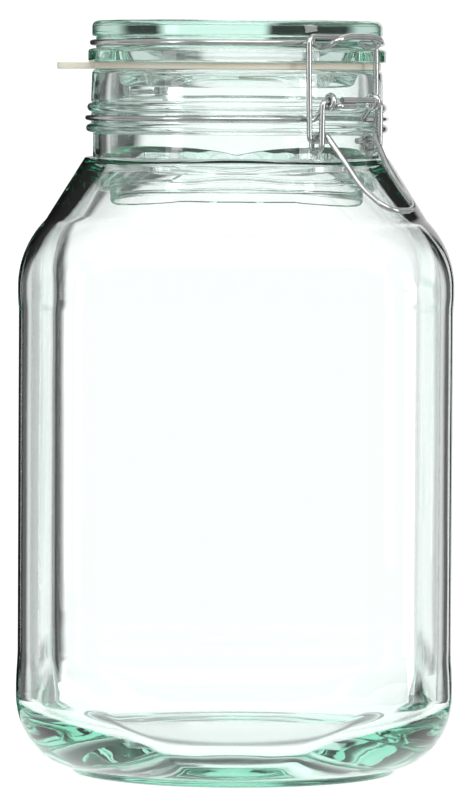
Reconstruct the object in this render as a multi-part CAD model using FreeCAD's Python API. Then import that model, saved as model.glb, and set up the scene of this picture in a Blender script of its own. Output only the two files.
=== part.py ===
# Square clip-top storage jar, about three litres: glass jar and lid, rubber ring, wire closure.
# Millimetres. Z is up and the jar stands on z = 0 with its sides along X and Y. The closure is over the
# corner between +X and -Y, and the lid's hinge over the corner opposite. The wires turn on the round neck,
# so the closure isn't exactly on the corner.
import math
import os

import FreeCAD
import Part

V = FreeCAD.Vector
os.makedirs("parts", exist_ok=True)

# Driving sizes
HEIGHT = 254.0  # floor to lid top
HALF_WIDTH = 72.1  # half the body's width, between its two bands
CORNER = 28.0  # radius of the body's corners
WALL = 4.0  # glass of the body's sides
BAND = 0.5  # how far the bands at the shoulder and the heel stand out
NECK_R = 49.1  # outside of the neck under the lid
MOUTH_R = 43.0  # bore of the neck
WIRE_R = 1.0  # neck wire and lever
BAIL_R = 0.95
LID_WIRE_R = 1.05
GASKET_T = 2.3
RUN = 0.08  # running clearance of a pin in its eye

# Levels, from the rim down and up
RIM_Z = HEIGHT - 16.5
SHOULDER_Z = RIM_Z - 28.0  # where the round neck starts
SIDE_TOP_Z = SHOULDER_Z - 20.5 - (HALF_WIDTH - NECK_R)  # top of the straight sides
HEEL_Z = 30.0  # bottom of the straight sides
FOOT_Z = 2.2  # height of the ring that the jar stands on
FOOT_R = 55.0
FLOOR_Z = 10.5  # top of the glass floor
NECK_WIRE_Z = RIM_Z - 16.4
FLANGE_Z = RIM_Z + GASKET_T  # underside of the lid's flange
LID_WIRE_Z = FLANGE_Z + 6.6
LID_RING_R = NECK_R - 0.25

# The closure. CLOSURE_TURN is its direction, in degrees from -Y towards +X. F is the distance from the jar's axis towards the closure, T is sideways.
CLOSURE_TURN = 43.3
PIVOT = (NECK_R + 4.2 + 2 * WIRE_R, RIM_Z - 10.5)  # F and z of the lever's pins, and mirrored to the back those of the hinge
BAIL_PIN = (NECK_R + 0.3 + 2 * WIRE_R, RIM_Z - 22.5 - WIRE_R)
BAIL_TOP = (NECK_R + 1.6, LID_WIRE_Z + 2.1)
BAIL_HALF = 15.5
EYE_T = 10.7  # first turn of each eye of the neck wire
CRANK_T = EYE_T + 2 * WIRE_R + 0.7  # plane of the lever's cranks, and of the hinge legs of the lid wire
PITCH = 2 * WIRE_R + 0.1
EYE_R = 2 * WIRE_R + RUN
CATCH_T = 11.0
FORWARD = V(math.sin(math.radians(CLOSURE_TURN)), -math.cos(math.radians(CLOSURE_TURN)), 0)
SIDEWAYS = V(-FORWARD.y, FORWARD.x, 0)


def at(f, t, z):
    """The point at f along the closure's direction and t sideways."""
    return FORWARD * f + SIDEWAYS * t + V(0, 0, z)


def turned(outline):
    """The solid of revolution of an outline of (r, z) points, where a triple is an arc's middle and end."""
    edges, last = [], None
    for step in outline + [outline[0]]:
        if len(step) == 2 and isinstance(step[0], tuple):
            mid, end = (V(r, 0, z) for r, z in step)
            edges.append(Part.Arc(last, mid, end).toShape())
            last = end
            continue
        end = V(step[0], 0, step[1])
        if last is not None and last.distanceToPoint(end) > 1e-6:
            edges.append(Part.makeLine(last, end))
        last = end
    return Part.Face(Part.Wire(edges)).revolve(V(0, 0, 0), V(0, 0, 1), 360)


def corner_arc(centre, radius, a, b):
    """An arc step around a centre, from angle a to angle b in degrees."""
    points = []
    for angle in ((a + b) / 2, b):
        c, s = math.cos(math.radians(angle)), math.sin(math.radians(angle))
        points.append((centre[0] + radius * c, centre[1] + radius * s))
    return tuple(points)


def bent_wire(stops, radius):
    """Round wire through stops of (point, bend radius), the first and last of which are its cut ends."""
    points = [p for p, _ in stops]
    edges, last = [], points[0]
    for before, (p, bend), after in zip(points, stops[1:-1], points[2:]):
        a, b = (p - before).normalize(), (after - p).normalize()
        half = a.getAngle(b) / 2
        reach = bend * math.tan(half)
        start, end = p - a * reach, p + b * reach
        inward = (b - a).normalize()
        mid = p + inward * (bend / math.cos(half) - bend)
        if last.distanceToPoint(start) > 1e-4:
            edges.append(Part.makeLine(last, start))
        edges.append(Part.Arc(start, mid, end).toShape())
        last = end
    edges.append(Part.makeLine(last, points[-1]))
    path = Part.Wire(edges)
    section = Part.Wire(Part.makeCircle(radius, points[0], points[1] - points[0]))
    return path.makePipeShell([section], True, False)


def ring_stops(radius, z, first, last, count):
    """Stops that bend a wire along a circle, between two angles from the closure's direction."""
    step = math.radians(last - first) / count
    out = []
    for k in range(count):
        angle = math.radians(first) + step * (k + 0.5)
        reach = radius / math.cos(step / 2)
        out.append((at(reach * math.cos(angle), reach * math.sin(angle), z), radius))
    return out


def mirrored(stops):
    """The same stops on the other side of the closure, in reverse order."""
    return [(p - SIDEWAYS * (2 * p.dot(SIDEWAYS)), bend) for p, bend in reversed(stops)]


def square(half, corner, z):
    """A square with round corners. Its sides are four lines or, where it is a circle, four short arcs."""
    edges = []
    round_all = half - corner < 0.01
    flat = 0.3 if round_all else half - corner
    rim = math.sqrt(half**2 - flat**2) if round_all else half
    bow = half / math.sqrt(2) if round_all else half - corner + corner / math.sqrt(2)
    for k in range(4):
        spin = FreeCAD.Rotation(V(0, 0, 1), 90 * k)
        a, b, c, d = (spin.multVec(V(x, y, z)) for x, y in ((rim, -flat), (rim, flat), (bow, bow), (flat, rim)))
        if round_all:
            edges.append(Part.Arc(a, spin.multVec(V(half, 0, z)), b).toShape())
        else:
            edges.append(Part.makeLine(a, b))
        edges.append(Part.Arc(b, c, d).toShape())
    return Part.Wire(edges)


def heel(side, foot, top, bottom, corner):
    """The rounded heel, from a square at the top to a circle at the bottom."""
    sections = []
    for k in range(7):
        u = math.radians(15 * k)
        half = foot + (side - foot) * math.cos(u) ** 1.15
        round_by = corner + (foot - corner) * math.sin(u) ** 1.3
        sections.append(square(half, min(round_by, half), top - (top - bottom) * math.sin(u)))
    return Part.makeLoft(sections, True)


def shoulder(side, neck, low, high, corner, outer_bend, inner_bend, slope):
    """The shoulder, from a square at the bottom to a circle at the top: two bends and a straight slope."""
    c, s = math.cos(math.radians(slope)), math.sin(math.radians(slope))
    top_arc = high - inner_bend * s - 1.5
    outline = [(side - outer_bend * (1 - math.cos(a)), low + outer_bend * math.sin(a))
               for a in (math.radians(slope) * k / 4 for k in range(5))]
    outline += [(neck + inner_bend * (1 - math.cos(a)), top_arc + inner_bend * (s - math.sin(a)))
                for a in (math.radians(slope) * k / 3 for k in (3, 2, 1, 0))]
    sections = []
    for half, z in outline + [(neck, high)]:
        part = ((z - low) / (high - low)) ** 1.2
        sections.append(square(half, min(corner + (neck - corner) * part, half - 0.3), z))
    sections[-1] = square(neck, neck, high)
    return Part.makeLoft(sections, True)


def body(inset):
    """The square body between heel and shoulder, with its two bands. The inside has no bands."""
    half, corner = HALF_WIDTH - inset, CORNER - inset
    band = 0 if inset else BAND
    levels = [(HEEL_Z, band), (HEEL_Z + 8, band), (HEEL_Z + 11, 0)]
    levels += [(SIDE_TOP_Z - 8, 0), (SIDE_TOP_Z - 5, band * 0.6), (SIDE_TOP_Z, band * 0.6)]
    return Part.makeLoft([square(half + b, corner, z) for z, b in levels], True, True)


def jar_body():
    band = HALF_WIDTH + BAND
    top = HALF_WIDTH + BAND * 0.6
    glass = body(0)
    glass = glass.fuse(heel(band, FOOT_R + 0.3, HEEL_Z, FOOT_Z, CORNER))
    low_neck = NECK_R - 0.4
    slope = 44.0
    glass = glass.fuse(shoulder(top, low_neck, SIDE_TOP_Z, SHOULDER_Z, CORNER, 31.0, 9.0, slope))
    bead, low_bead = 1.75, 1.6
    groove = WIRE_R + 0.6
    low_z, high_z = NECK_WIRE_Z - groove - 1.8, NECK_WIRE_Z + groove + 2.0
    neck = turned([
        (0, SHOULDER_Z), (low_neck, SHOULDER_Z), (low_neck, low_z - 1.8), (low_neck + 0.75, low_z - low_bead),
        corner_arc((low_neck + 0.75, low_z), low_bead, -90, 90),
        (low_neck + 0.65, NECK_WIRE_Z - groove), (low_neck + 0.65, NECK_WIRE_Z + groove),
        (low_neck + 0.2, high_z - bead), corner_arc((low_neck + 0.2, high_z), bead, -90, 90),
        (NECK_R + 0.3, high_z + 2.1), (NECK_R, RIM_Z - 1.6),
        corner_arc((NECK_R - 1.6, RIM_Z - 1.6), 1.6, 0, 90),
        (0, RIM_Z),
    ])
    hollow = 4.2
    foot = turned([(0, hollow), ((FOOT_R / 2, hollow * 0.72), (FOOT_R - 7, 0)), (FOOT_R - 1.5, 0),
                   corner_arc((FOOT_R - 1.5, 1.5), 1.5, -90, 0), (FOOT_R, FOOT_Z + 1), (0, FLOOR_Z - 2)])
    glass = glass.fuse([neck, foot])

    # the inside: heel, sides, shoulder and bore
    inner = body(WALL)
    inner = inner.fuse(heel(HALF_WIDTH - WALL, FOOT_R - 4.5, HEEL_Z, FLOOR_Z, CORNER - WALL))
    inner = inner.fuse(shoulder(HALF_WIDTH - WALL, MOUTH_R, SIDE_TOP_Z, SHOULDER_Z - 3, CORNER - WALL,
                                29.0, 8.0, 43.0))
    bore = turned([(0, SHOULDER_Z - 3), (MOUTH_R, SHOULDER_Z - 3), (MOUTH_R, RIM_Z - 1.5),
                   corner_arc((MOUTH_R + 1.5, RIM_Z - 1.5), 1.5, 180, 90), (MOUTH_R + 1.5, RIM_Z + 1), (0, RIM_Z + 1)])
    return glass.cut(inner.fuse(bore))


def lid():
    """Glass lid: plug with a hollow under it, flange, wire groove and rim bead, with a dished top."""
    top, groove = HEIGHT, LID_WIRE_Z
    plug = MOUTH_R - 0.8
    flange = NECK_R + 1.3
    bottom = LID_RING_R - LID_WIRE_R - 0.05
    half = LID_WIRE_R + 0.85
    return turned([
        (0, RIM_Z + 9.5), ((18, RIM_Z + 8.9), (33, RIM_Z + 5.5)), (35.5, RIM_Z + 1), (36.5, RIM_Z - 5.6),
        (37.3, RIM_Z - 6.3), (plug - 3.0, RIM_Z - 6.3), (plug - 2.4, RIM_Z - 5.6), (plug, RIM_Z), (plug, FLANGE_Z),
        (flange - 0.8, FLANGE_Z), corner_arc((flange - 0.8, FLANGE_Z + 0.8), 0.8, -90, 0),
        (flange, groove - 3.1), corner_arc((flange - 1.2, groove - 3.1), 1.2, 0, 90),
        (bottom, groove - half), (bottom, groove + half), (flange - 2.0, groove + 2.1),
        corner_arc((flange - 2.0, groove + 2.8), 0.7, -90, 0),
        (flange - 1.3, top - 2.2), corner_arc((flange - 3.5, top - 2.2), 2.2, 0, 90),
        (flange - 6.5, top), (flange - 10.5, top - 1.6), (0, top - 2.4),
    ])


def gasket():
    """Flat rubber ring on the lid's plug, with its pull tab towards -X."""
    low = RIM_Z + 0.02
    thick = FLANGE_Z - low
    outer = NECK_R - 0.7
    ring = Part.makeCylinder(outer, thick, V(0, 0, low))
    reach, wide = outer + 12.4, 12.0
    tab = Part.makeBox(reach - outer + 3, wide, thick, V(-reach, -wide / 2, low))
    ends = [e for e in tab.Edges if e.Length < thick + 0.1 and e.CenterOfMass.x < -reach + 0.1
            and abs(e.tangentAt(e.FirstParameter).z) > 0.9]
    tab = tab.makeFillet(4.0, ends)
    return ring.fuse(tab).cut(Part.makeCylinder(MOUTH_R - 0.7, thick + 2, V(0, 0, low - 1))).removeSplitter()


def eye_stops(sign):
    """The neck wire from its ring out to one eye and around it. sign is 1 in front and -1 at the back."""
    f, z = PIVOT
    first = math.radians(16)
    ring_r = NECK_R + 0.25 + WIRE_R
    leave_t = ring_r * math.sin(first)
    leave_f = ring_r * math.cos(first) + (leave_t - EYE_T) * math.tan(first)
    out = [(at(sign * leave_f, EYE_T, NECK_WIRE_Z), 1.6), (at(sign * (f - 2.4), EYE_T, z - EYE_R), 2.0)]
    reach = EYE_R / math.cos(math.pi / 8)
    for k in range(9):
        a = math.radians(45 * k - 67.5)
        out.append((at(sign * (f + reach * math.cos(a)), EYE_T - PITCH * k / 8, z + reach * math.sin(a)), EYE_R - 0.03))
    return out


def neck_wire():
    """A collar in the neck's groove that winds two eyes in front for the lever and two behind for the lid."""
    f, z = PIVOT
    ring_r = NECK_R + 0.25 + WIRE_R
    bar_f, bar_z = f + 2.6, z - 0.4
    halves = []
    for end, lift in ((-7.0, 0.95), (1.0, -0.95)):
        front = [(at(bar_f, end, bar_z + lift), 0), (at(bar_f, 7.9, bar_z + lift), 1.3)]
        back = [(at(-bar_f, 7.9, bar_z), 1.3), (at(-bar_f, -0.2, bar_z), 0)]
        path = front + list(reversed(eye_stops(1)))
        path += ring_stops(ring_r, NECK_WIRE_Z, 16, 164, 8)
        path += eye_stops(-1) + back
        halves.append(path if lift > 0 else mirrored(path))
    return bent_wire(halves[0], WIRE_R).fuse(bent_wire(halves[1], WIRE_R))


def lid_wire():
    """A ring in the lid's groove, bowed out and up in front as the catch, with the hinge pins behind."""
    ring_r = LID_RING_R
    first, last = math.radians(16), math.radians(18)
    catch_f = ring_r * math.cos(first) + (ring_r * math.sin(first) - CATCH_T) * math.tan(first)
    leg_f = ring_r * math.cos(last) + (ring_r * math.sin(last) - CRANK_T) * math.tan(last)
    dip, out = LID_WIRE_Z - 1.4, BAIL_TOP[0] + 8.5
    path = [(at(out, 0, dip + 3.6), 0), (at(out, 5.4, dip + 3.6), 16), (at(out - 0.1, CATCH_T, dip + 2.1), 3.2),
            (at(out - 4.8, CATCH_T, dip), 5.0), (at(BAIL_TOP[0] + 0.8, CATCH_T, dip), 3.0),
            (at(catch_f, CATCH_T, LID_WIRE_Z), 1.8)]
    path += ring_stops(ring_r, LID_WIRE_Z, 16, 162, 8)
    path += [(at(-leg_f, CRANK_T, LID_WIRE_Z), 1.8), (at(-leg_f - 4.2, CRANK_T, LID_WIRE_Z - 0.8), 2.5),
             (at(-PIVOT[0], CRANK_T, PIVOT[1]), 1.45), (at(-PIVOT[0], 7.6, PIVOT[1]), 0)]
    other = mirrored(path)
    return bent_wire(other[:-1] + path[1:], LID_WIRE_R)


def lever():
    """Two pins in the front eyes, a crank with an open eyelet on each side, and the U handle."""
    f, z = PIVOT
    eye_f, eye_z = BAIL_PIN[0] + 0.45, BAIL_PIN[1] - 0.95
    eye_r = WIRE_R + BAIL_R + 1.15
    path = [(at(f, 9.3, z), 0), (at(f, CRANK_T, z), 1.45)]
    reach = eye_r / math.cos(math.pi / 8)
    aside = PITCH / 5
    for k in range(6):
        a = math.radians(-22.5 - 45 * k)
        path.append((at(eye_f + reach * math.cos(a), CRANK_T - aside * k, eye_z + reach * math.sin(a)), eye_r - 0.08))
    arm = CRANK_T - PITCH
    path += [(at(eye_f + 2.6, arm - 0.3, eye_z + eye_r), 2.8), (at(eye_f + 11.0, arm - 2.1, eye_z - 7.0), 30.0),
             (at(eye_f + 17.4, arm - 2.5, eye_z - 14.0), 30.0), (at(eye_f + 28.0, 6.6, eye_z - 21.7), 5.9)]
    return bent_wire(path + mirrored(path), WIRE_R)


def bail():
    """A tall loop. Its two ends turn in as pins through the lever's eyelets and its top bar holds the catch."""
    (pin_f, pin_z), (top_f, top_z) = BAIL_PIN, BAIL_TOP
    path = [(at(pin_f, 6.2, pin_z), 0), (at(pin_f, BAIL_HALF, pin_z), 1.6), (at(top_f, BAIL_HALF, top_z), 2.6)]
    return bent_wire(path + mirrored(path), BAIL_R)


for name, make in (("jar_body", jar_body), ("lid", lid), ("gasket", gasket), ("neck_wire", neck_wire),
                   ("lid_wire", lid_wire), ("lever", lever), ("bail", bail)):
    shape = make()
    shape.exportStep("parts/" + name + ".step")
    box = shape.BoundBox
    print(name, shape.isValid(), len(shape.Solids), round(shape.Volume / 1000, 2), "cm3", len(shape.Faces), "faces",
          [round(v, 2) for v in (box.XMin, box.YMin, box.ZMin, box.XMax, box.YMax, box.ZMax)])
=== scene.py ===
import math

import bpy
from mathutils import Matrix, Vector


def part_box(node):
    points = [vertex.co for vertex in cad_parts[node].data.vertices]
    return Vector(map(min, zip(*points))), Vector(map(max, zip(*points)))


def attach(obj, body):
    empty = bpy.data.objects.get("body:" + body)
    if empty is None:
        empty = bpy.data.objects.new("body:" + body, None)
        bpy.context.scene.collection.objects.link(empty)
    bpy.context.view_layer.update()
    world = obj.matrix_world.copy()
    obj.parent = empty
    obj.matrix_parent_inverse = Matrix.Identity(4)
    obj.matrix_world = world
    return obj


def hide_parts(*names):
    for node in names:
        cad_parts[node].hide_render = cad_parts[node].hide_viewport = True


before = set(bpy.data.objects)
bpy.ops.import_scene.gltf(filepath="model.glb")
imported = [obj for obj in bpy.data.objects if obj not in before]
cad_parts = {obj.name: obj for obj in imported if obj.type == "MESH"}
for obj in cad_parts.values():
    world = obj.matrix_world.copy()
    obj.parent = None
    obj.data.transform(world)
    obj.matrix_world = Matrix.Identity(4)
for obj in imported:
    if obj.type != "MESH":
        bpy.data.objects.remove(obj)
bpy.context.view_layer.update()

mm = 0.001

# ---- Studio ----
# A white disc to stand on and a white card behind the jar, in a grey room. Dark flags beside the card draw
# the dark lines at the edges of clear glass. Two tall soft boxes and a wide one above the lens give the
# highlights. The lens is long and looks slightly down.


class Value:
    """A socket of a node tree. Arithmetic on it adds Math nodes to that tree."""

    def __init__(self, nodes, socket):
        self.nodes, self.socket = nodes, socket

    def maths(self, operation, *others):
        given = dict(enumerate((self, *others)))
        return self.nodes.add("ShaderNodeMath", {"operation": operation}, given)[0]

    def __add__(self, other):
        return self.maths("ADD", other)

    def __sub__(self, other):
        return self.maths("SUBTRACT", other)

    def __rsub__(self, other):
        return self.nodes.add("ShaderNodeMath", {"operation": "SUBTRACT"}, {0: other, 1: self})[0]

    def __mul__(self, other):
        return self.maths("MULTIPLY", other)

    def __truediv__(self, other):
        return self.maths("DIVIDE", other)

    def __abs__(self):
        return self.maths("ABSOLUTE")

    def rise(self, low, high):
        """0 below low and 1 above high, with a smooth step between them."""
        given = {0: self, 1: low, 2: high}
        return self.nodes.add("ShaderNodeMapRange", {"interpolation_type": "SMOOTHSTEP"}, given)[0]

    __radd__, __rmul__ = __add__, __mul__


class Added:
    """A node's outputs, by name or number."""

    def __init__(self, nodes, node):
        self.nodes, self.node = nodes, node

    def __getitem__(self, key):
        return Value(self.nodes, self.node.outputs[key])


class Nodes:
    """Adds nodes to one tree."""

    def __init__(self, tree):
        self.tree = tree
        tree.nodes.clear()

    def add(self, kind, settings=None, inputs=None):
        """A node of a kind. Its settings come first, then the values or links of its inputs."""
        node = self.tree.nodes.new(kind)
        for name, value in (settings or {}).items():
            setattr(node, name, value)
        for name, value in (inputs or {}).items():
            if isinstance(value, Value):
                self.tree.links.new(value.socket, node.inputs[name])
            else:
                node.inputs[name].default_value = value
        return Added(self, node)


def add_object(name, data):
    thing = bpy.data.objects.new(name, data)
    bpy.context.scene.collection.objects.link(thing)
    return thing


def place_camera():
    distance, height = 2.170, 0.235
    aside = -1.2 * mm
    pitch, roll = math.radians(2.88), math.radians(-0.315)
    camera = add_object("camera", bpy.data.cameras.new("camera"))
    camera.data.lens = 288.9
    camera.data.sensor_width = 36
    camera.data.clip_end = 30
    tilt = Matrix.Rotation(math.pi / 2 - pitch, 4, "X") @ Matrix.Rotation(-roll, 4, "Z")
    camera.matrix_world = Matrix.Translation((aside, -distance, height)) @ tilt
    bpy.context.scene.camera = camera


def light_studio():
    world = bpy.data.worlds.new("studio")
    bpy.context.scene.world = world
    world.use_nodes = True
    nodes = Nodes(world.node_tree)
    way = nodes.add("ShaderNodeTexCoord")["Generated"]
    parts = nodes.add("ShaderNodeSeparateXYZ", {}, {0: way})
    x, y, z = parts["X"], parts["Y"], parts["Z"]
    card_glow, wall_glow, room_glow, ceiling_glow, flag_glow = 1.12, 0.75, 0.42, 0.25, 0.02
    behind = y.rise(-0.05, 0.25)
    card = x.rise(-0.17, -0.11) * (1 - x.rise(0.34, 0.42))
    beside = abs(x).rise(0.58, 0.72) * (1 - abs(x).rise(0.90, 1.0))
    low = 1 - 0.3 * z.rise(0.30, 0.75)
    room = room_glow * (1 - behind) + ceiling_glow * z.rise(0.2, 0.9)
    glow = flag_glow + room + behind * low * (card_glow * card + wall_glow * beside)
    background = nodes.add("ShaderNodeBackground", {}, {"Color": (1, 1, 1, 1), "Strength": glow})
    nodes.add("ShaderNodeOutputWorld", {}, {"Surface": background["Background"]})

    for name, place, size, watts in (
        ("soft_box_left", (-1.3, -1.0, 0.55), (0.35, 1.3), 4),
        ("soft_box_right", (1.35, -0.8, 0.45), (0.30, 1.2), 7),
        ("soft_box_top", (0.1, -1.25, 1.25), (1.5, 1.0), 15),
    ):
        lamp = add_object(name, bpy.data.lights.new(name, "AREA"))
        lamp.data.shape = "RECTANGLE"
        lamp.data.size, lamp.data.size_y = size
        lamp.data.energy = watts
        aim = Vector((0, 0, 0.15)) - Vector(place)
        turned = aim.to_track_quat("-Z", "Y").to_matrix().to_4x4()
        lamp.matrix_world = Matrix.Translation(place) @ turned
        lamp.visible_camera = False

    scene = bpy.context.scene
    scene.view_settings.view_transform = "Standard"
    scene.cycles.max_bounces = 28
    scene.cycles.transmission_bounces = 28
    scene.cycles.glossy_bounces = 20
    scene.cycles.transparent_max_bounces = 16


def lay_floor():
    """A round white sheet with its own glow, with painted shade in that glow under the jar, darkest where the
    jar's foot stands.
    """
    radius, count = 0.12, 96
    angles = [2 * math.pi * k / count for k in range(count)]
    rim = [(radius * math.cos(a), radius * math.sin(a), 0) for a in angles]
    mesh = bpy.data.meshes.new("floor")
    mesh.from_pydata(rim, [], [tuple(range(count))])
    floor = add_object("floor", mesh)
    finish = bpy.data.materials.new("white_sheet_painted_shade")
    finish.use_nodes = True
    nodes = Nodes(finish.node_tree)
    place = nodes.add("ShaderNodeTexCoord")["Object"]
    out = nodes.add("ShaderNodeVectorMath", {"operation": "LENGTH"}, {0: place})["Value"]
    # Painted shade: the sheet's glow is cut in a ring where the jar's foot stands, and is lower under the
    # whole jar.
    painted_foot_shade = out.rise(0.038, 0.047) * (1 - out.rise(0.050, 0.055))  # where the jar's foot stands
    glow = 0.75 + 0.25 * out.rise(0.052, 0.058) - 0.7 * painted_foot_shade
    sheet = nodes.add("ShaderNodeBsdfPrincipled", {}, {
        "Base Color": (0.25, 0.25, 0.25, 1), "Roughness": 0.8, "Specular IOR Level": 0.1,
        "Emission Color": glow, "Emission Strength": 1.05})
    nodes.add("ShaderNodeOutputMaterial", {}, {"Surface": sheet["BSDF"]})
    mesh.materials.append(finish)


place_camera()
light_studio()
lay_floor()

# ---- Jar ----
# One piece of clear soda glass, square with round corners and a round neck. Its inside is slightly uneven,
# as the mould shapes only the outside. It stands on a ring round a hollow base.

rim_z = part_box("jar_body")[1].z
band = 0.5 * mm  # how far the heel and the shoulder stand out past the flat sides
half_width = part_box("jar_body")[1].x - band - 0.1 * mm
corner = 28.0 * mm
wall = 4.0 * mm
shoulder_z = rim_z - 28.0 * mm
side_top_z = 166.0 * mm
heel_z = 30.0 * mm
foot_z, foot_r = 2.2 * mm, 55.0 * mm
foot_hollow = 4.2 * mm
floor_z = 10.5 * mm
neck_r, mouth_r = 49.1 * mm, 43.0 * mm
neck_wire_z = rim_z - 16.4 * mm


def arc(centre, radius, start, end, count):
    """Points (r, z) along an arc from one angle to another, in degrees."""
    points = []
    for k in range(count + 1):
        angle = math.radians(start + (end - start) * k / count)
        points.append((centre[0] + radius * math.cos(angle), centre[1] + radius * math.sin(angle)))
    return points


def heel_rows(side, foot, top, bottom, side_corner, count=22):
    """Rows (half width, corner, z) of a rounded heel, from its foot up."""
    fullness, rounding = 1.15, 1.3  # how full the heel is, and how soon its plan becomes round
    rows = []
    for k in range(count + 1):
        u = math.radians(90 - 90 * k / count)
        half = foot + (side - foot) * math.cos(u) ** fullness
        round_by = side_corner + (foot - side_corner) * math.sin(u) ** rounding
        rows.append((half, min(round_by, half), top - (top - bottom) * math.sin(u)))
    return rows


def shoulder_rows(side, neck, low, high, side_corner, low_bend, high_bend, slope):
    """Rows of a shoulder, from the square sides up to the round neck: a bend, a straight slope and a bend."""
    straight_neck = 1.5 * mm
    slope_steps = 16
    turn_in = 1.2  # how late the plan becomes round
    top_arc = high - high_bend * math.sin(math.radians(slope)) - straight_neck
    outline = arc((side - low_bend, low), low_bend, 0, slope, 24)
    top = [(2 * neck + high_bend - r, z) for r, z in arc((neck, top_arc), high_bend, 0, slope, 14)]
    foot, head = outline[-1], top[-1]
    for k in range(1, slope_steps):
        outline.append(tuple(a + (b - a) * k / slope_steps for a, b in zip(foot, head)))
    outline += top[::-1] + [(neck, high)]
    rows = []
    for half, z in outline:
        part = ((z - low) / (high - low)) ** turn_in
        rows.append((half, min(side_corner + (neck - side_corner) * part, half), z))
    return rows


def turned_rows(outline):
    """Rows of a round stretch."""
    return [(r, r, z) for r, z in outline]


def with_supports(rows, near=0.3 * mm, step=9 * mm):
    """The same rows with more of them beside sharp edges and along straight runs, so that flats stay flat."""
    runs = [(b[0] - a[0], b[2] - a[2]) for a, b in zip(rows, rows[1:])]
    headings = [math.atan2(z, r) for r, z in runs]
    edge = 0.93  # cosine of the least turn that counts as a sharp edge
    sharp = [False] + [math.cos(a - b) < edge for a, b in zip(headings, headings[1:])] + [False]
    out = [rows[0]]
    for k, (a, b) in enumerate(zip(rows, rows[1:])):
        run = math.hypot(*runs[k])
        shares = []
        if run > 4 * near:
            count = max(1, math.ceil(run / step))
            shares = [j / count for j in range(1, count)]
            shares += [near / run] * sharp[k] + [1 - near / run] * sharp[k + 1]
        out += [tuple(p + (q - p) * share for p, q in zip(a, b)) for share in sorted(set(shares))]
        if run > 1e-6:
            out.append(b)
    return out


def lathe_tree():
    """Geometry nodes that turn rows into a closed skin. A row is a square with round corners, or a circle."""
    tree = bpy.data.node_groups.new("pressed_skin", "GeometryNodeTree")
    for name, way, kind in (("Rows", "INPUT", "Geometry"), ("Around", "INPUT", "Int"),
                            ("Unevenness", "INPUT", "Float"), ("Glass", "INPUT", "Material"),
                            ("Skin", "OUTPUT", "Geometry")):
        tree.interface.new_socket(name, in_out=way, socket_type="NodeSocket" + kind)
    nodes = Nodes(tree)
    given = nodes.add("NodeGroupInput")
    rows, around = given["Rows"], given["Around"]
    count = nodes.add("GeometryNodeAttributeDomainSize", {}, {0: rows})["Point Count"]
    grid = nodes.add("GeometryNodeMeshGrid", {}, {"Vertices X": count, "Vertices Y": around + 1})["Mesh"]
    index = nodes.add("GeometryNodeInputIndex")["Index"]
    row = (index / (around + 1)).maths("FLOOR")
    turn = (index - row * (around + 1)) * 4 / around  # in quarters

    def held(name):
        """A value that each row holds, read for the row of this point."""
        value = nodes.add("GeometryNodeInputNamedAttribute", {"data_type": "FLOAT"}, {"Name": name})[0]
        return nodes.add("GeometryNodeSampleIndex", {}, {"Geometry": rows, "Value": value, "Index": row})[0]

    half, round_by, level, rough = held("half"), held("corner"), held("level"), held("uneven")
    # Each quarter runs along half a flat, round the corner and along half of the next flat.
    on_flat = 0.125
    quarter = turn.maths("FLOOR")
    part = turn - quarter
    bend = ((part - on_flat) / (1 - 2 * on_flat)).maths("MAXIMUM", 0).maths("MINIMUM", 1) * (math.pi / 2)
    flat = half - round_by
    ahead = flat * ((1 - part) / on_flat).maths("MINIMUM", 1) + round_by * bend.maths("COSINE")
    across = flat * (part / on_flat).maths("MINIMUM", 1) + round_by * bend.maths("SINE")
    c, s = (quarter * (math.pi / 2)).maths("COSINE"), (quarter * (math.pi / 2)).maths("SINE")
    x, y = ahead * c - across * s, ahead * s + across * c
    # Slow waves, longer upwards than round the piece, move each point out or in and a little up or down.
    across_scale, up_scale, lift, hub = 22, 9, 0.3, 5 * mm
    place = nodes.add("ShaderNodeCombineXYZ", {}, {
        0: x * across_scale, 1: y * across_scale, 2: level * up_scale})["Vector"]
    ripple = nodes.add("ShaderNodeTexNoise", {}, {"Vector": place, "Scale": 1.0, "Detail": 1.5})[0]
    swell = (ripple - 0.5) * rough * given["Unevenness"]
    grow = 1 + swell / (x * x + y * y).maths("SQRT").maths("MAXIMUM", hub)
    place = nodes.add("ShaderNodeCombineXYZ", {}, {
        0: x * grow, 1: y * grow, 2: level + swell * lift})["Vector"]
    skin = nodes.add("GeometryNodeSetPosition", {}, {"Geometry": grid, "Position": place})["Geometry"]
    skin = nodes.add("GeometryNodeMergeByDistance", {}, {"Geometry": skin, "Distance": 0.01 * mm})["Geometry"]
    skin = nodes.add("GeometryNodeFlipFaces", {}, {0: skin})[0]
    skin = nodes.add("GeometryNodeSetShadeSmooth", {}, {0: skin, "Shade Smooth": True})[0]
    skin = nodes.add("GeometryNodeRealizeInstances", {}, {0: skin})[0]
    skin = nodes.add("GeometryNodeSetMaterial", {}, {0: skin, "Material": given["Glass"]})[0]
    nodes.add("NodeGroupOutput", {}, {"Skin": skin})
    return tree


def grown(name, mesh, tree, inputs):
    """The plain mesh that a tree of geometry nodes makes from a mesh, as an object."""
    thing = add_object(name, mesh)
    modifier = thing.modifiers.new("shape", "NODES")
    modifier.node_group = tree
    for socket in tree.interface.items_tree:
        if socket.name in inputs:
            modifier[socket.identifier] = inputs[socket.name]
    made = bpy.data.meshes.new_from_object(thing.evaluated_get(bpy.context.evaluated_depsgraph_get()))
    thing.modifiers.clear()
    thing.data = made
    made.name = name
    return thing


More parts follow.
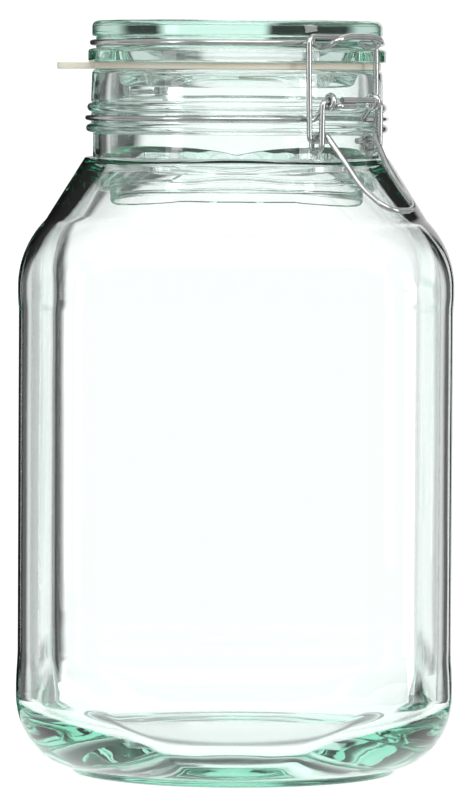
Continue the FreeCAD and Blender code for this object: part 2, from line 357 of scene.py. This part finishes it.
def pressed(name, rows, around, unevenness, glass):
    """A glass piece from its rows, which run from the middle of its underside to the middle of its inside."""
    mesh = bpy.data.meshes.new(name + "_rows")
    mesh.from_pydata([(half, 0, level) for half, _, level, _ in rows], [], [])
    for label, place in (("half", 0), ("corner", 1), ("level", 2), ("uneven", 3)):
        held = mesh.attributes.new(label, "FLOAT", "POINT")
        held.data.foreach_set("value", [row[place] for row in rows])
    return grown(name, mesh, skin_tree, {"Around": around, "Unevenness": unevenness, "Glass": glass})


def clear_glass(name, density, ripple):
    """Soda glass: its green shows only where light runs a long way inside it."""
    tint = (0.42, 0.86, 0.72, 1)
    glass = bpy.data.materials.new(name)
    glass.use_nodes = True
    nodes = Nodes(glass.node_tree)
    place = nodes.add("ShaderNodeTexCoord")["Object"]
    slow = nodes.add("ShaderNodeTexNoise", {}, {"Vector": place, "Scale": 26.0, "Detail": 2.0})[0]
    handled = nodes.add("ShaderNodeTexNoise", {}, {"Vector": place, "Scale": 60.0, "Detail": 5.0})[0]
    upright = nodes.add("ShaderNodeMapping", {}, {"Vector": place, "Scale": (1, 1, 0.05)})[0]
    drawn = nodes.add("ShaderNodeTexNoise", {}, {"Vector": upright, "Scale": 240.0, "Detail": 2.0})[0]
    bump = nodes.add("ShaderNodeBump", {}, {
        "Strength": ripple, "Distance": 0.3 * mm, "Height": slow + drawn * 0.12})["Normal"]
    skin = nodes.add("ShaderNodeBsdfPrincipled", {}, {
        "Base Color": (1, 1, 1, 1), "IOR": 1.52, "Transmission Weight": 1.0,
        "Roughness": handled.rise(0.5, 0.8) * 0.03, "Normal": bump})
    depth = nodes.add("ShaderNodeVolumeAbsorption", {}, {"Color": tint, "Density": density})
    nodes.add("ShaderNodeOutputMaterial", {}, {"Surface": skin["BSDF"], "Volume": depth["Volume"]})
    return glass


def jar_outside():
    """The jar's outside, from the middle of the hollow base up to the top of the rim."""
    low_neck = neck_r - 0.4 * mm
    top = half_width + band * 0.6
    foot_edge, rim_edge = 1.5 * mm, 1.6 * mm
    high_bead, low_bead = 1.75 * mm, 1.6 * mm
    groove_r, half_groove = low_neck + 0.65 * mm, 1.6 * mm
    hollow = [(foot_r * 0.87 * k / 12, foot_hollow * (1 - (k / 12) ** 2.2)) for k in range(13)]
    rows = turned_rows(hollow + arc((foot_r - foot_edge, foot_edge), foot_edge, -90, 0, 6))
    rows += heel_rows(half_width + band, foot_r + 0.3 * mm, heel_z, foot_z, corner)
    # The heel's band fades into the flat side, and the flat side into the shoulder's band.
    for k in range(9):
        fade = 0.5 + 0.5 * math.cos(math.pi * k / 8)
        rows.append((half_width + band * fade, corner, heel_z + (3 + 1.6 * k) * mm))
    for k in range(7):
        fade = 0.5 - 0.5 * math.cos(math.pi * k / 6)
        rows.append((half_width + (top - half_width) * fade, corner, side_top_z + (k - 9) * mm))
    rows += shoulder_rows(top, low_neck, side_top_z, shoulder_z, corner, 31 * mm, 9 * mm, 44)
    z = neck_wire_z
    return rows + turned_rows(
        [(low_neck, z - 5.2 * mm)]
        + arc((low_neck + 0.75 * mm, z - 3.4 * mm), low_bead, -90, 90, 12)
        + [(groove_r, z - half_groove), (groove_r, z + half_groove)]
        + arc((low_neck + 0.2 * mm, z + 3.6 * mm), high_bead, -90, 90, 12)
        + [(neck_r + 0.3 * mm, z + 5.7 * mm)]
        + arc((neck_r - rim_edge, rim_z - rim_edge), rim_edge, 0, 90, 8))


def jar_inside():
    """The jar's inside, from the middle of its floor up to the top of the rim."""
    side, inner_corner = half_width - wall, corner - wall
    mouth_edge = 1.5 * mm
    rows = turned_rows([(0, floor_z), (foot_r * 0.5, floor_z)])
    rows += heel_rows(side, foot_r - 4.5 * mm, heel_z, floor_z, inner_corner)
    rows += [(side, inner_corner, side_top_z)]
    rows += shoulder_rows(side, mouth_r, side_top_z, shoulder_z - 3 * mm, inner_corner, 29 * mm, 13 * mm, 43)
    return rows + turned_rows(
        [(mouth_r, shoulder_z)] + arc((mouth_r + mouth_edge, rim_z - mouth_edge), mouth_edge, 180, 90, 6))


def jar_rows():
    """Both sides with their unevenness: the mould leaves little, the blown inside of the body the most."""
    moulded, blown, plunged = 0.15, 0.9, 0.3
    outside = [(*row, moulded) for row in with_supports(jar_outside())]
    inside = [(*row, blown if row[2] < side_top_z else plunged) for row in with_supports(jar_inside())]
    return outside + inside[::-1]


skin_tree = lathe_tree()
jar_glass = clear_glass("jar_glass", 15.0, 0.15)
jar = pressed("jar_glass_body", jar_rows(), 256, 0.5 * mm, jar_glass)
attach(jar, "jar")
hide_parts("jar_body")

# ---- Lid ----
# A second pressing in the same glass: a hollow plug that enters the mouth, a flange over the rubber ring, a
# groove for the wire, and a dished top inside a raised rim.

lid_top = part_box("lid")[1].z


def lid_rows():
    """The lid from the middle of its hollow, round the plug and the flange, to the middle of its top."""
    seat = rim_z + 2.3 * mm
    groove = seat + 6.6 * mm
    flange = neck_r + 1.3 * mm
    plug, plug_end = mouth_r - 0.8 * mm, rim_z - 6.3 * mm
    hollow_r, hollow_z, hollow_rise = 33 * mm, rim_z + 5.5 * mm, 4 * mm
    dome = [math.radians(9 * k) for k in range(10)]
    low_edge, high_edge, rim_edge, rim_foot = 0.8 * mm, 1.2 * mm, 2.2 * mm, 0.7 * mm
    groove_r, half_groove = flange - 2.65 * mm, 1.9 * mm
    under = (
        [(hollow_r * math.sin(a), hollow_z + hollow_rise * math.cos(a)) for a in dome]
        + [(35.5 * mm, rim_z + 1 * mm), (36.5 * mm, plug_end + 0.7 * mm), (37.3 * mm, plug_end)]
        + [(plug - 3.0 * mm, plug_end), (plug - 2.4 * mm, plug_end + 0.7 * mm), (plug, rim_z), (plug, seat)])
    over = (
        arc((flange - low_edge, seat + low_edge), low_edge, -90, 0, 6)
        + arc((flange - high_edge, groove - 3.1 * mm), high_edge, 0, 90, 6)
        + [(groove_r, groove - half_groove), (groove_r, groove + half_groove)]
        + [(flange - 2.0 * mm, groove + 2.1 * mm)]
        + arc((flange - 2.0 * mm, groove + 2.8 * mm), rim_foot, -90, 0, 4)
        + arc((flange - 3.5 * mm, lid_top - rim_edge), rim_edge, 0, 90, 8)
        + [(flange - 6.5 * mm, lid_top), (flange - 10.5 * mm, lid_top - 1.6 * mm), (0, lid_top - 2.4 * mm)])
    unevenness = 0.3
    return [(*row, unevenness) for row in with_supports(turned_rows(under + over), step=5 * mm)]


lid_glass = clear_glass("lid_glass", 9.0, 0.2)
lid = pressed("lid_glass_disc", lid_rows(), 192, 0.3 * mm, lid_glass)
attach(lid, "cover")
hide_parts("lid")

# ---- Rubber ring ----
# A flat ring of natural rubber on the lid's plug, with a rounded pull tab to break the vacuum. It is cut
# from moulded sheet, so its faces are fine and slightly mottled.


def cream_rubber():
    rubber = bpy.data.materials.new("cream_rubber")
    rubber.use_nodes = True
    nodes = Nodes(rubber.node_tree)
    place = nodes.add("ShaderNodeTexCoord")["Object"]
    cloud = nodes.add("ShaderNodeTexNoise", {}, {"Vector": place, "Scale": 45.0, "Detail": 6.0})[0]
    grain = nodes.add("ShaderNodeTexNoise", {}, {"Vector": place, "Scale": 1800.0, "Detail": 3.0})[0]
    colour = nodes.add("ShaderNodeMix", {"data_type": "RGBA"}, {
        0: cloud.rise(0.3, 0.7), 6: (0.74, 0.70, 0.56, 1), 7: (0.82, 0.79, 0.67, 1)})[2]
    bump = nodes.add("ShaderNodeBump", {}, {"Strength": 0.25, "Distance": 0.05 * mm, "Height": grain})[0]
    skin = nodes.add("ShaderNodeBsdfPrincipled", {}, {
        "Base Color": colour, "Roughness": 0.5 + cloud * 0.15, "Normal": bump,
        "Subsurface Weight": 0.25, "Subsurface Scale": 2 * mm, "Subsurface Radius": (1.0, 0.8, 0.5)})
    nodes.add("ShaderNodeOutputMaterial", {}, {"Surface": skin["BSDF"]})
    return rubber


def gasket_outline(outer, reach, half_tab, tab_corner):
    """The ring's outside from one side of the tab round to the other, then the tab's end."""
    start = math.asin(half_tab / outer)
    count = 220
    angles = [start + 2 * (math.pi - start) * k / count for k in range(count + 1)]
    ring = [(-outer * math.cos(a), outer * math.sin(a)) for a in angles]
    tab = []
    for side, first in ((-1, 270), (1, 180)):
        centre = (-reach + tab_corner, side * (half_tab - tab_corner))
        tab += arc(centre, tab_corner, first, first - 90, 8)
    side = [(-outer - (reach - outer - tab_corner) * k / 6, -half_tab) for k in range(1, 6)]
    return ring + side + tab + [(x, -y) for x, y in reversed(side)]


def rubber_ring():
    low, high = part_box("gasket")
    outer, inner = high.x, mouth_r - 0.7 * mm
    outline = gasket_outline(outer, -low.x, 6.0 * mm, 4.0 * mm)
    count = len(outline)
    inside = [(x * inner / math.hypot(x, y), y * inner / math.hypot(x, y)) for x, y in outline]
    mesh = bpy.data.meshes.new("rubber_ring")
    mesh.from_pydata([(x, y, low.z) for x, y in outline + inside], [],
                     [(k, (k + 1) % count, count + (k + 1) % count, count + k) for k in range(count)])
    ring = add_object("rubber_ring", mesh)
    thick = ring.modifiers.new("thickness", "SOLIDIFY")
    thick.thickness = high.z - low.z
    edge = ring.modifiers.new("edges", "BEVEL")
    edge.width, edge.segments = 0.35 * mm, 3
    edge.limit_method, edge.angle_limit = "ANGLE", math.radians(60)
    made = bpy.data.meshes.new_from_object(ring.evaluated_get(bpy.context.evaluated_depsgraph_get()))
    ring.modifiers.clear()
    ring.data = made
    ring.data.materials.append(cream_rubber())
    return ring


gasket = rubber_ring()
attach(gasket, "cover")
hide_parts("gasket")

# ---- Wires ----
# Drawn steel wire with bright zinc plating: the collar with its four eyes round the neck, the ring round the
# lid with the catch and the hinge pins, the lever with its handle, and the bail that holds the catch down.


def zinc_plate(name, tone):
    """Bright zinc, with fine grain and duller patches."""
    zinc = bpy.data.materials.new(name)
    zinc.use_nodes = True
    nodes = Nodes(zinc.node_tree)
    place = nodes.add("ShaderNodeTexCoord")["Object"]
    patch = nodes.add("ShaderNodeTexNoise", {}, {"Vector": place, "Scale": 160.0, "Detail": 4.0})[0]
    fine = nodes.add("ShaderNodeTexNoise", {}, {"Vector": place, "Scale": 1500.0, "Detail": 3.0})[0]
    light, dark = (tone * 0.97, tone, tone * 0.99, 1), (tone * 0.79, tone * 0.82, tone * 0.81, 1)
    dull = patch.rise(0.35, 0.7)
    colour = nodes.add("ShaderNodeMix", {"data_type": "RGBA"}, {0: dull, 6: light, 7: dark})[2]
    bump = nodes.add("ShaderNodeBump", {}, {"Strength": 0.12, "Distance": 0.04 * mm, "Height": fine})[0]
    roughness = 0.16 + patch.rise(0.4, 0.8) * 0.14
    skin = nodes.add("ShaderNodeBsdfPrincipled", {}, {
        "Base Color": colour, "Metallic": 1.0, "Roughness": roughness, "Normal": bump})
    nodes.add("ShaderNodeOutputMaterial", {}, {"Surface": skin["BSDF"]})
    return zinc


wire_finish = zinc_plate("zinc_wire", 0.62)
for node in ("neck_wire", "lid_wire", "lever", "bail"):
    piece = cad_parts[node]
    piece.data.materials.clear()
    piece.data.materials.append(wire_finish)
